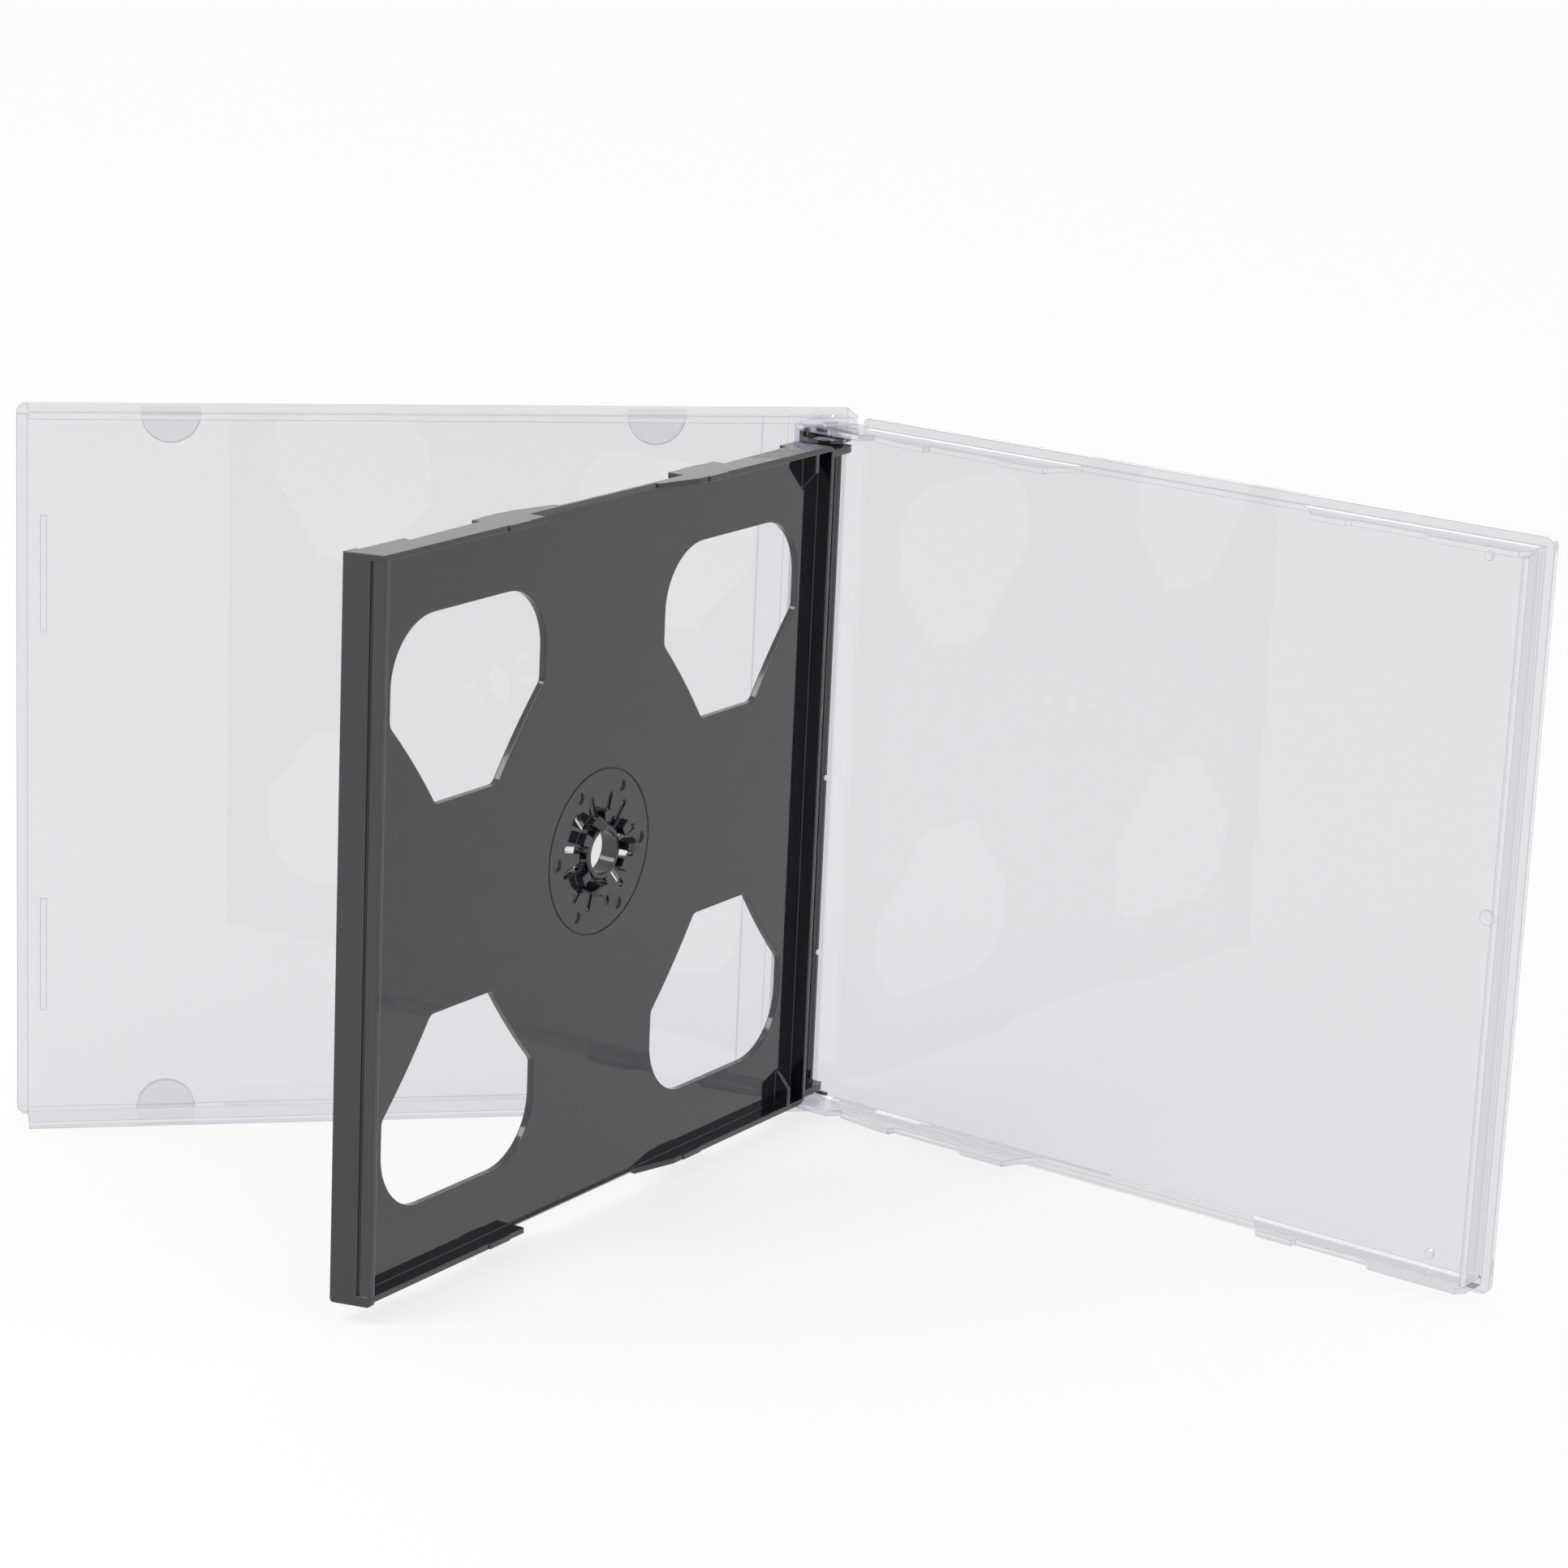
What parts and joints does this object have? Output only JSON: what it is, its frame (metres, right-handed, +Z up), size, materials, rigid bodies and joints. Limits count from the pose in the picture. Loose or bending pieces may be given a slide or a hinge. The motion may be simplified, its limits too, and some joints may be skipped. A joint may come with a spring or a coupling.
{
  "type": "disc jewel case",
  "caption": "Hinged clear plastic disc case standing open, with a black two-sided disc tray that swings on a strip at the spine.",
  "frame": {"origin": "centre of the bounding box's bottom, in the open rest pose, with the case standing on its long bottom edge", "axes": "+Z up along the spine, +X from the spine along the base panel to its opening edge, -Y out of the base's inside"},
  "size_m": [0.2342, 0.1398, 0.125],
  "materials": {
    "clear_polystyrene": "polished clear moulding",
    "black_polystyrene": "semi-gloss black moulding"
  },
  "bodies": {
    "back": {"base": "clear_polystyrene", "hinge_strip": "black_polystyrene"},
    "cover": {"lid": "clear_polystyrene"},
    "tray": {"disc_tray": "black_polystyrene"}
  },
  "joints": [
    {"name": "lid_hinge", "type": "hinge", "parent": "back", "child": "cover", "pos_m": [-0.02006, 0.06158, 0.0625], "axis": [0, 0, -1], "range_deg": [-132, 48]},
    {"name": "tray_hinge", "type": "hinge", "parent": "back", "child": "tray", "pos_m": [-0.01746, 0.05968, 0.0625], "axis": [0, 0, -1], "range_deg": [-86.7, 31.5]}
  ],
  "couplings": [
    {"joint": "tray_hinge", "follows": "lid_hinge", "ratio": 0.6568}
  ]
}
